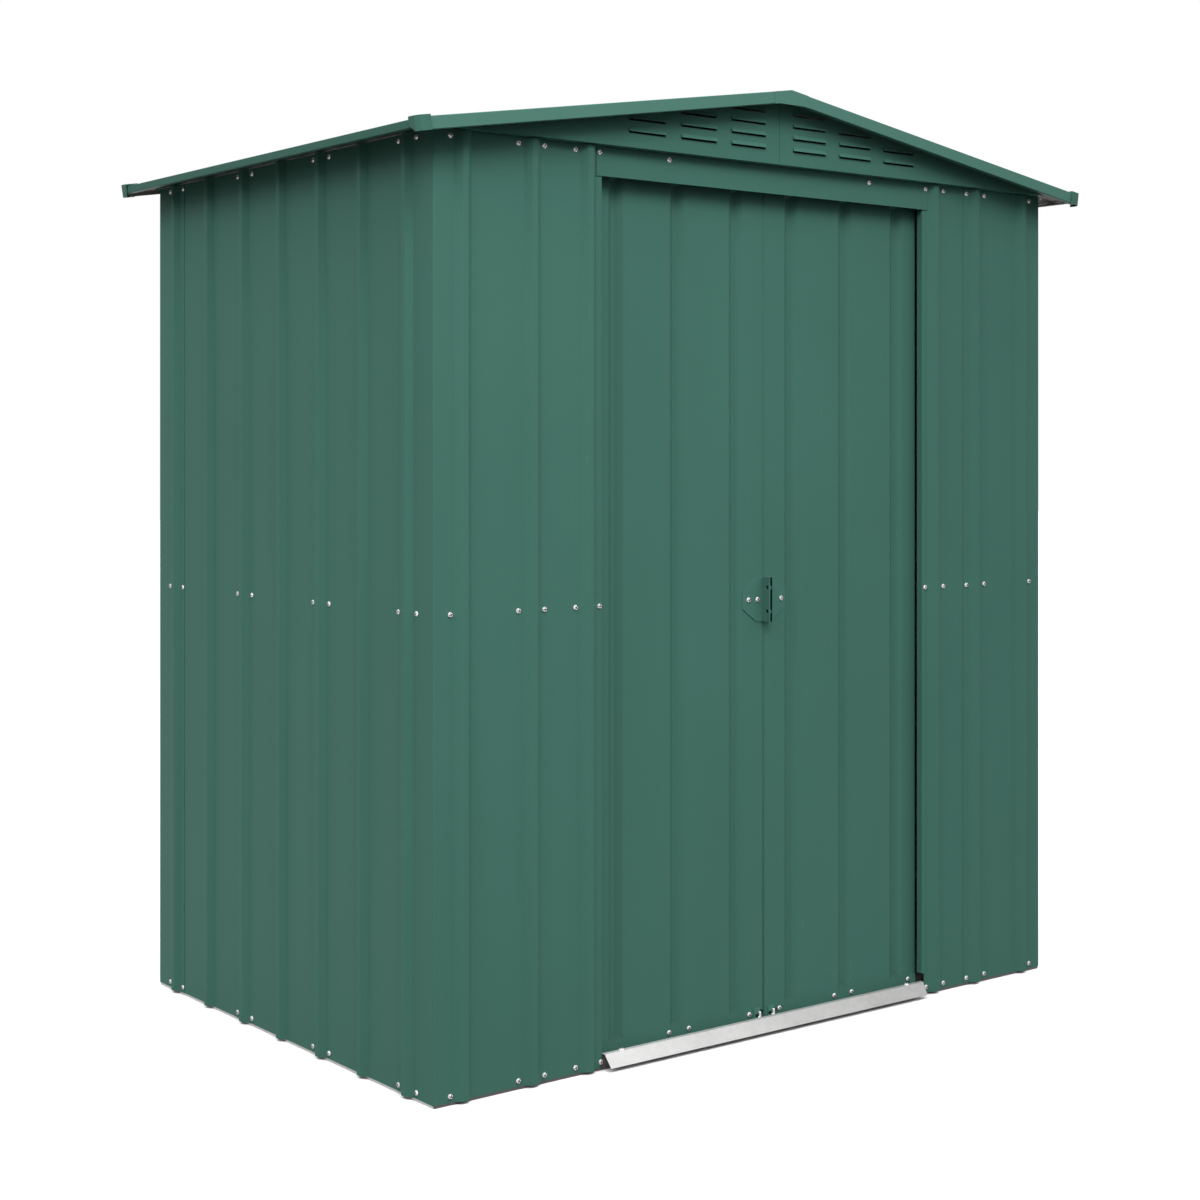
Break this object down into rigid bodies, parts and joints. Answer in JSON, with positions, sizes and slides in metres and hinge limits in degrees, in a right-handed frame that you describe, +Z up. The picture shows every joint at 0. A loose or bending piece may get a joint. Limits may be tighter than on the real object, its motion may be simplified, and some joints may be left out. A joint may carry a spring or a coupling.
{
  "type": "metal storage shed",
  "caption": "Small apex-roof garden shed of ribbed, painted sheet steel with sliding double doors, louvred gables and a galvanised door ramp.",
  "frame": {"origin": "middle of the roof's plan at ground level", "axes": "+Z up, -Y towards the viewer of the doors, +X to the right seen from the front"},
  "size_m": [1.8348, 1.234, 1.949],
  "materials": {
    "wall_paint": "satin mid green baked paint",
    "trim_paint": "satin green baked paint, a little lighter",
    "roof_paint": "pale grey back coat, green on top",
    "hasp_paint": "satin green paint",
    "galvanised_steel": "galvanised, faint spangle",
    "green_plastic": "moulded plastic",
    "guide_plastic": "moulded plastic"
  },
  "bodies": {
    "shed": {"apex_plates": "trim_paint", "back_base_rail": "galvanised_steel", "back_left_corner_panel": "wall_paint", "back_left_gable": "wall_paint", "back_left_gable_trim": "trim_paint", "back_right_corner_panel": "wall_paint", "back_right_gable": "wall_paint", "back_right_gable_trim": "trim_paint", "back_wall_panel_1": "wall_paint", "back_wall_panel_2": "wall_paint", "back_wall_panel_3": "wall_paint", "back_wall_panel_4": "wall_paint", "bottom_door_track": "galvanised_steel", "door_header": "wall_paint", "door_ramp": "galvanised_steel", "front_left_corner_panel": "wall_paint", "front_left_gable": "wall_paint", "front_left_gable_trim": "trim_paint", "front_right_corner_panel": "wall_paint", "front_right_gable": "wall_paint", "front_right_gable_trim": "trim_paint", "left_base_rail": "galvanised_steel", "left_eave_trim": "trim_paint", "left_jamb_panel": "wall_paint", "left_roof_sheet": "roof_paint", "left_wall_panel_1": "wall_paint", "left_wall_panel_2": "wall_paint", "left_wall_panel_3": "wall_paint", "middle_rails": "galvanised_steel", "ridge_beam": "galvanised_steel", "ridge_cap": "trim_paint", "right_base_rail": "galvanised_steel", "right_eave_trim": "trim_paint", "right_jamb_panel": "wall_paint", "right_roof_sheet": "roof_paint", "right_wall_panel_1": "wall_paint", "right_wall_panel_2": "wall_paint", "right_wall_panel_3": "wall_paint", "roof_corner_caps": "green_plastic", "top_door_track": "wall_paint", "top_rails": "galvanised_steel"},
    "left_door": {"left_door_braces": "galvanised_steel", "left_door_glides": "guide_plastic", "left_door_hasp": "hasp_paint", "left_door_leaf": "wall_paint"},
    "right_door": {"right_door_braces": "galvanised_steel", "right_door_glides": "guide_plastic", "right_door_hasp": "hasp_paint", "right_door_leaf": "wall_paint"}
  },
  "joints": [
    {"name": "left_door_slide", "type": "slide", "parent": "shed", "child": "left_door", "axis": [-1, 0, 0], "range_m": [0, 0.37]},
    {"name": "right_door_slide", "type": "slide", "parent": "shed", "child": "right_door", "axis": [1, 0, 0], "range_m": [0, 0.37]}
  ]
}
